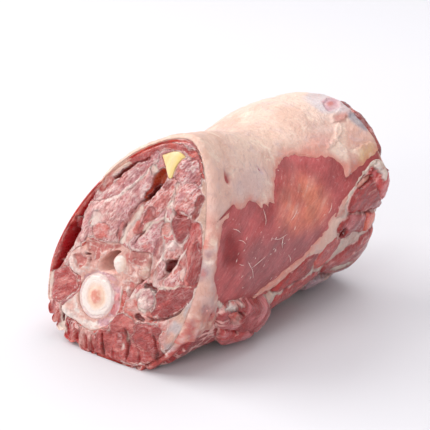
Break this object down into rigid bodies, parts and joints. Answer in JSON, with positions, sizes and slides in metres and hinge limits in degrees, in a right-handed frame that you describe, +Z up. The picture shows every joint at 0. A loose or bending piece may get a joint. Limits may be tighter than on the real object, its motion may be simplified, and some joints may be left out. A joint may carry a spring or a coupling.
{
  "type": "raw lamb neck",
  "caption": "Raw lamb neck joint on the bone: a short leaning-faced roll of muscle under a layer of fat, with the backbone, its canal and a yellow neck band showing at both cut ends.",
  "frame": {"origin": "centre of the underside of the bounding box", "axes": "+Z up from the resting face, +Y along the neck away from the leaning cut face, +X to the right of that face as it is looked at"},
  "size_m": [0.0978, 0.15, 0.105],
  "materials": {
    "muscle": "moist raw meat",
    "fat_cap": "moist pale fat",
    "neck_bone": "freshly cut pink bone",
    "spine_disc": "wet white gristle",
    "nuchal_ligament": "waxy yellow"
  },
  "bodies": {
    "root": {"muscle": "muscle", "fat_cap": "fat_cap", "neck_bone": "neck_bone", "spine_disc_front": "spine_disc", "spine_disc_rear": "spine_disc", "nuchal_ligament": "nuchal_ligament"}
  },
  "joints": []
}
